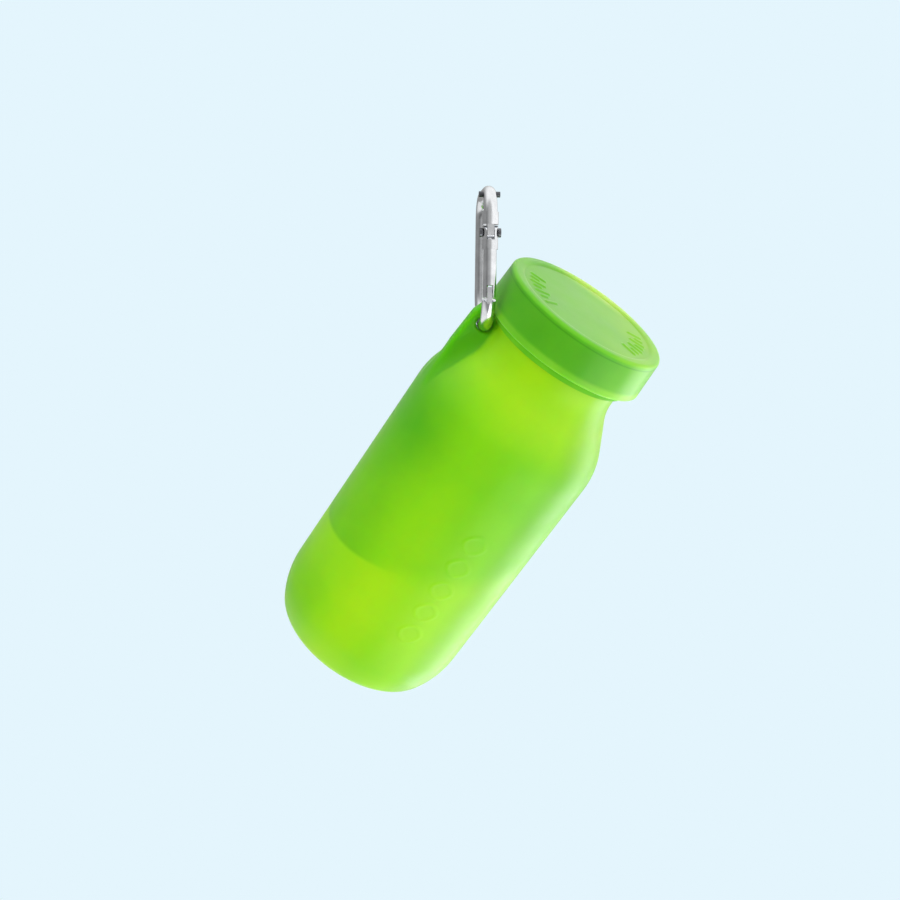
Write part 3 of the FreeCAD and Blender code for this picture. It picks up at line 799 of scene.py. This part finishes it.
LINER_LOW_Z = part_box("cap_insert")[0].z
CAP_COLOURS = (
    (0.0, (0.035, 0.27, 0.004, 1)), (0.4, (0.10, 0.40, 0.010, 1)),
    (1.0, (0.34, 0.66, 0.040, 1)),
)
# Painted light and shade, as shares of brightness: the skirt below the liner, lit through; the
# top, lit from above; and the side from -X to +X, lit more towards +X.
CAP_SKIRT_TONE = 0.24
CAP_SKIRT_Z = (LINER_LOW_Z + 0.0022, LINER_LOW_Z + 0.0006)
CAP_TOP_TONE = 0.04
CAP_TOP_TONE_Z = (0.1582, 0.1592)
CAP_SIDE_TONES = (0.26, 0.50)
CAP_SIDE_X = (-0.020, 0.030)
# Painted reflection: the top turns paler and whiter above this height.
CAP_TOP_REFLECTION = (1.45, 1.12, 1.3, 1)
CAP_TOP_REFLECTION_Z = (0.1588, 0.1592)
CAP_SEAM_Z = 0.1579
CAP_SEAM_TINT = (0.35, 0.6, 0.4, 1)
CAP_SEAM_SHARE = 0.5
# Painted light: colour and share of the glow on the far rim, where light shines through.
CAP_RIM_COLOUR = (0.62, 0.82, 0.13, 1)
CAP_RIM_SHARE = 0.6
CAP_RIM_SIDE = (0.37, 0.93)
CAP_RIM_FAR = (0.019, 0.029)
CAP_RIM_Z = (0.1585, 0.1592)


def far_rim(shader, x, y, z):
    """How much a point belongs to the thin rim that the light shines through, from 0 to 1."""
    along_x = shader.maths("MULTIPLY", x, CAP_RIM_SIDE[0])
    along_y = shader.maths("MULTIPLY", y, CAP_RIM_SIDE[1])
    far = shader.span(shader.maths("ADD", along_x, along_y), *CAP_RIM_FAR, smooth=True)
    return shader.maths("MULTIPLY", far, shader.span(z, *CAP_RIM_Z))


def cap_tone(shader, x, z):
    """Painted light and shade on the cap, from its skirt, top and side, with faint clouds."""
    clouds = shader.span(shader.noise(45.0, 4.0), *NOISE_MIDDLE, -0.07, 0.07)
    skirt = shader.span(z, *CAP_SKIRT_Z, 0.0, CAP_SKIRT_TONE, smooth=True)
    top = shader.span(z, *CAP_TOP_TONE_Z, 0.0, CAP_TOP_TONE, smooth=True)
    side = shader.span(x, *CAP_SIDE_X, *CAP_SIDE_TONES, smooth=True)
    return shader.maths(
        "ADD", shader.maths("ADD", skirt, top), shader.maths("ADD", side, clouds))


def cap_seam(shader, z):
    """The thin dark line round the side, just below the top's edge, from 0 to 1."""
    return shader.maths(
        "MULTIPLY",
        shader.span(z, CAP_SEAM_Z - 0.00045, CAP_SEAM_Z - 0.00005, smooth=True),
        shader.span(z, CAP_SEAM_Z + 0.00040, CAP_SEAM_Z, smooth=True),
    )


def silicone_cap():
    """The cap's skin: deep green over the liner, with painted light where the skirt hangs below
    it, on the top and towards +X, a painted reflection that pales the top and a painted glow on
    the far rim.
    """
    shader = Shader("green_cap_silicone")
    x, y, z = shader.axes(shader.place)
    colour = shader.ramp(cap_tone(shader, x, z), *CAP_COLOURS)
    seam = shader.maths("MULTIPLY", cap_seam(shader, z), CAP_SEAM_SHARE)
    colour = shader.mix(seam, colour, CAP_SEAM_TINT, "MULTIPLY")
    # Painted reflection on the top.
    colour = shader.mix(shader.span(z, *CAP_TOP_REFLECTION_Z), colour, CAP_TOP_REFLECTION, "MULTIPLY")
    # Painted light glowing through the far rim.
    rim = shader.maths("MULTIPLY", far_rim(shader, x, y, z), CAP_RIM_SHARE)
    colour = shader.mix(rim, colour, CAP_RIM_COLOUR)
    roughness, normal = satin_skin(shader, 0.32, 0.42)
    shader.set(
        Subsurface_Weight=1.0,
        Subsurface_Radius=(0.55, 1.0, 0.14),
        Subsurface_Scale=0.004,
        Specular_IOR_Level=0.26,
        Sheen_Weight=0.16,
        Sheen_Roughness=0.3,
    )
    return shader.finish(colour, roughness, normal)


def moulded_plastic(name, dark, light, rough_low, rough_high):
    """Plastic between two colours, with the fine grain of its mould."""
    shader = Shader(name)
    colour = shader.ramp(shader.noise(120.0, 5.0), (0.3, dark), (0.7, light))
    roughness = shader.span(shader.noise(300.0, 3.0), *NOISE_MIDDLE, rough_low, rough_high)
    normal = shader.bump(shader.noise(1800.0, 2.0), 0.15, 0.00005)
    shader.set(Subsurface_Weight=0.15, Subsurface_Scale=0.002, Specular_IOR_Level=0.12)
    return shader.finish(colour, roughness, normal)


def metal(name, dark, light, rough_low, rough_high, scratch):
    """Bare metal with fine polishing lines and faint smudges."""
    shader = Shader(name)
    smudge = shader.noise(180.0, 4.0, 0.6)
    colour = shader.ramp(smudge, (0.3, dark), (0.7, light))
    lines = shader.noise(900.0, 3.0, 0.6, stretch=(1.0, 1.0, 0.08))
    worn = shader.maths("ADD", shader.maths("MULTIPLY", smudge, 0.6),
                        shader.maths("MULTIPLY", lines, 0.4))
    roughness = shader.span(worn, 0.35, 0.65, rough_low, rough_high)
    normal = shader.bump(lines, scratch, 0.00003)
    shader.set(Metallic=1.0)
    return shader.finish(colour, roughness, normal)


def paint(piece, material):
    piece.data.materials.clear()
    piece.data.materials.append(material)


def paint_pieces(bottle, cap, coil):
    nodes = frame["nodes"]
    paint(bottle, silicone_wall())
    paint(cap, silicone_cap())
    paint(nodes["neck_ring"], moulded_plastic(
        "ring_green_plastic", srgb(84, 172, 22), srgb(104, 188, 30), 0.50, 0.60))
    paint(nodes["cap_insert"], moulded_plastic(
        "liner_green_plastic", srgb(54, 140, 40), srgb(72, 160, 50), 0.35, 0.48))
    paint(nodes["cap_seal"], moulded_plastic(
        "pale_seal_silicone", srgb(214, 218, 212), srgb(232, 236, 230), 0.45, 0.6))
    polished = metal(
        "polished_aluminium", srgb(196, 198, 202), srgb(226, 228, 232), 0.10, 0.22, 0.25)
    steel = metal("dark_rivet_steel", srgb(70, 72, 76), srgb(120, 122, 128), 0.22, 0.4, 0.4)
    spring = metal("spring_steel", srgb(120, 122, 126), srgb(170, 172, 178), 0.2, 0.35, 0.3)
    for name in ("carabiner_frame", "carabiner_gate", "gate_plunger"):
        paint(nodes[name], polished)
    for name in ("gate_pivot_rivet", "crown_rivet"):
        paint(nodes[name], steel)
    paint(nodes["gate_latch_pin"], metal(
        "dull_pin_steel", srgb(120, 122, 124), srgb(150, 152, 154), 0.35, 0.5, 0.3))
    paint(coil, spring)


# ---------------------------------------------------------------- floor, light and camera

PALE_BLUE = srgb(228, 245, 253)
FLOOR_Z = -0.30
FLOOR_R = 2.2
FLAT_FLOOR_R = FLOOR_R * 0.6
DOME_TOP = 2.6
DOME_LIFT = 0.001
DOME_RINGS = 24
DOME_SEGMENTS = 64
LEAST_R = 1e-4
LOOK_AT = Vector((0, 0, 0.080))
# The world's light by the height of its direction, and how it dims round one side.
WORLD_COLOUR = (1.0, 1.0, 0.98, 1)
WORLD_LOW = 0.35
WORLD_HIGH = 1.30
WORLD_RISE = (-0.35, 0.45)
WORLD_BELOW = 0.75
WORLD_BELOW_FALL = (-0.62, -0.85)
DIM_SIDE = (-0.62, -0.74, 0.25)
DIM_FACING = (0.55, 0.90)
DIM_SHARE = 0.45


def glow(name, colour):
    material = bpy.data.materials.new(name)
    material.use_nodes = True
    tree = material.node_tree
    tree.nodes.clear()
    light = tree.nodes.new("ShaderNodeEmission")
    light.inputs["Color"].default_value = colour
    out = tree.nodes.new("ShaderNodeOutputMaterial")
    tree.links.new(light.outputs["Emission"], out.inputs["Surface"])
    return material


def turned_mesh(profile, segments):
    """Points and faces of an open profile of (radius, z) turned round Z."""
    points = []
    for radius, z in profile:
        radius = max(radius, LEAST_R)
        for s in range(segments):
            turn = 2 * math.pi * s / segments
            points.append((radius * math.cos(turn), radius * math.sin(turn), z))
    faces = []
    for i in range(len(profile) - 1):
        for s in range(segments):
            t = (s + 1) % segments
            faces.append([i * segments + s, i * segments + t,
                          (i + 1) * segments + t, (i + 1) * segments + s])
    return points, faces


def make_surroundings():
    """A pale floor that runs up into a plain pale dome. Neither lights the object."""
    profile = [(0, FLOOR_Z), (FLAT_FLOOR_R, FLOOR_Z)]
    for i in range(DOME_RINGS + 1):
        rise = math.pi / 2 * i / DOME_RINGS
        profile.append(
            (FLOOR_R * math.cos(rise), FLOOR_Z + DOME_LIFT + DOME_TOP * math.sin(rise)))
    floor = make_mesh("floor_and_backdrop", *turned_mesh(profile, DOME_SEGMENTS))
    paint(floor, glow("pale_backdrop", PALE_BLUE))
    floor.visible_diffuse = False
    floor.visible_glossy = False
    floor.visible_shadow = False
    floor.visible_transmission = False


def area_light(name, place, aim, size, power, mirrored=True):
    data = bpy.data.lights.new(name, "AREA")
    data.shape = "RECTANGLE"
    data.size, data.size_y = size
    data.energy = power
    lamp = bpy.data.objects.new(name, data)
    lamp.location = place
    lamp.rotation_euler = (Vector(aim) - Vector(place)).to_track_quat("-Z", "Y").to_euler()
    lamp.visible_camera = False
    lamp.visible_glossy = mirrored
    bpy.context.scene.collection.objects.link(lamp)


def make_world():
    """Soft daylight from above, dim below the horizon and behind the camera."""
    world = bpy.data.worlds.new("soft_studio")
    world.use_nodes = True
    nodes = Nodes(world.node_tree)
    back = nodes.tree.nodes["Background"]
    direction = nodes.add("ShaderNodeTexCoord").outputs["Generated"]
    height = nodes.axes(direction)[2]
    facing = nodes.add("ShaderNodeVectorMath", operation="DOT_PRODUCT")
    facing.inputs[1].default_value = DIM_SIDE
    nodes.link(direction, facing.inputs[0])
    daylight = nodes.span(height, *WORLD_RISE, WORLD_LOW, WORLD_HIGH, smooth=True)
    dimming = nodes.span(facing.outputs["Value"], *DIM_FACING, 1.0, DIM_SHARE, smooth=True)
    below = nodes.span(height, *WORLD_BELOW_FALL, 0.0, WORLD_BELOW, smooth=True)
    strength = nodes.maths("ADD", nodes.maths("MULTIPLY", daylight, dimming), below)
    nodes.link(strength, back.inputs["Strength"])
    back.inputs["Color"].default_value = WORLD_COLOUR
    bpy.context.scene.world = world


def make_lights():
    make_world()
    area_light("right_rim", (0.70, 0.10, -0.10), LOOK_AT, (0.5, 1.0), 6.0)
    area_light("right_front", (0.50, -0.55, -0.22), LOOK_AT, (0.7, 0.7), 3.5)
    area_light("left_front", (-0.60, -0.55, 0.25), LOOK_AT, (0.7, 0.7), 4.5, mirrored=False)


CAMERA_DISTANCE = 0.5
CAMERA_AZIMUTH = math.radians(-22.2)
CAMERA_ELEVATION = math.radians(24.3)
CAMERA_ROLL = math.radians(35.8)
CAMERA_SENSOR = 36.0
CAMERA_LENS = 54.84
CAMERA_SHIFT = (-0.015, 0.0372)
CAMERA_CLIP = (0.01, 20.0)


def make_camera():
    """The camera, turned round the object, raised and rolled, and aimed at LOOK_AT."""
    a, e, roll = CAMERA_AZIMUTH, CAMERA_ELEVATION, CAMERA_ROLL
    back = Vector((math.sin(a) * math.cos(e), -math.cos(a) * math.cos(e), math.sin(e)))
    level = Vector((math.cos(a), math.sin(a), 0))
    upright = back.cross(level)
    right = math.cos(roll) * level + math.sin(roll) * upright
    up = -math.sin(roll) * level + math.cos(roll) * upright
    data = bpy.data.cameras.new("camera")
    data.sensor_width = CAMERA_SENSOR
    data.lens = CAMERA_LENS
    data.shift_x, data.shift_y = CAMERA_SHIFT
    data.clip_start, data.clip_end = CAMERA_CLIP
    camera = bpy.data.objects.new("camera", data)
    turn = Matrix((right, up, back)).transposed().to_4x4()
    camera.matrix_world = Matrix.Translation(LOOK_AT + back * CAMERA_DISTANCE) @ turn
    bpy.context.scene.collection.objects.link(camera)
    bpy.context.scene.camera = camera


bottle_skin = make_bottle()
cap_skin = make_cap()
spring_coil = make_spring()
paint_pieces(bottle_skin, cap_skin, spring_coil)
make_surroundings()
make_lights()
make_camera()
bpy.context.scene.view_settings.view_transform = "Standard"
